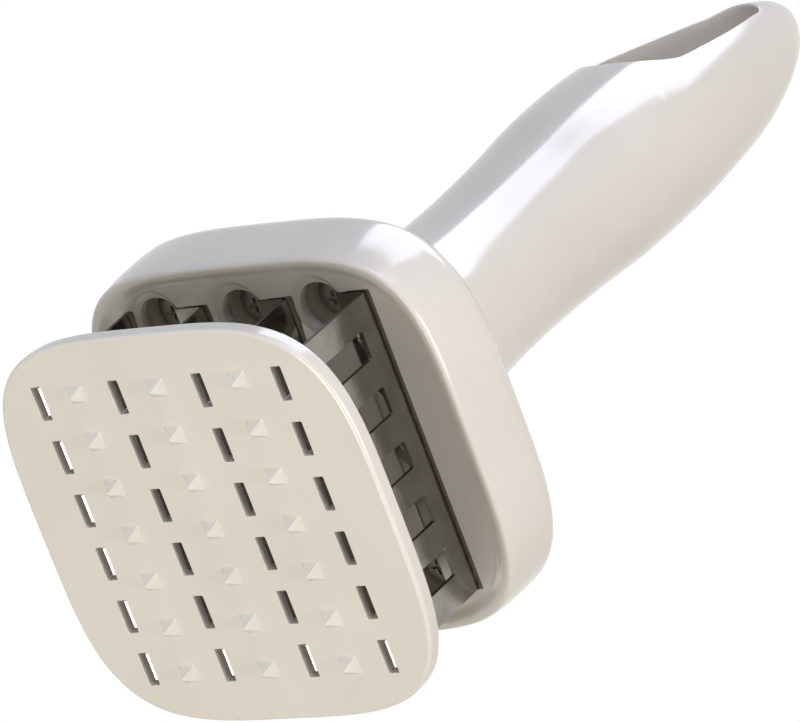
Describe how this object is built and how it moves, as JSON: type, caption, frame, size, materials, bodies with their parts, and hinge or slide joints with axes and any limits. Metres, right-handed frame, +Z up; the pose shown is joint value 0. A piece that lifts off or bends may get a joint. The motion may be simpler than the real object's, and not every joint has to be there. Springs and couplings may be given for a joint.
{
  "type": "blade meat tenderizer",
  "caption": "Hand-held blade meat tenderizer: moulded head and handle, toothed blade strips, and a sprung slotted guard plate that slides up when pressed.",
  "frame": {"origin": "middle of the object's box at its lowest level, on the tips of the guard plate's studs", "axes": "+Z up along the handle, +X across the blade strips, +Y along the blade strips towards the back; the hanging hole runs along Y"},
  "size_m": [0.0668, 0.0652, 0.175],
  "materials": {
    "ivory_plastic": "satin moulded",
    "acetal": "satin",
    "silicone": "matt",
    "blade_steel": "rolled and blanked",
    "bright_steel": "ground",
    "spring_steel": "drawn",
    "screw_steel": "dull plated"
  },
  "bodies": {
    "housing": {"body_shell": "ivory_plastic", "base_cover": "ivory_plastic", "blade_strip_1": "blade_steel", "blade_strip_2": "blade_steel", "blade_strip_3": "blade_steel", "blade_strip_4": "blade_steel", "strip_rivets": "bright_steel", "rivet_washers": "bright_steel", "cover_screws": "screw_steel", "guide_bush_front": "acetal", "guide_bush_rear": "acetal", "stop_ring_front": "silicone", "stop_ring_rear": "silicone", "spring_front": "spring_steel", "spring_rear": "spring_steel"},
    "guard": {"guard_plate": "ivory_plastic", "guide_post_front": "bright_steel", "guide_post_rear": "bright_steel", "post_washer_front": "bright_steel", "post_washer_rear": "bright_steel", "post_screw_front": "screw_steel", "post_screw_rear": "screw_steel"}
  },
  "joints": [
    {"name": "guard_slide", "type": "slide", "parent": "housing", "child": "guard", "axis": [0, 0, 1], "range_m": [0, 0.017], "stiffness_N_per_m": 560, "springref_m": -0.011, "deforming": ["spring_front", "spring_rear"]}
  ]
}
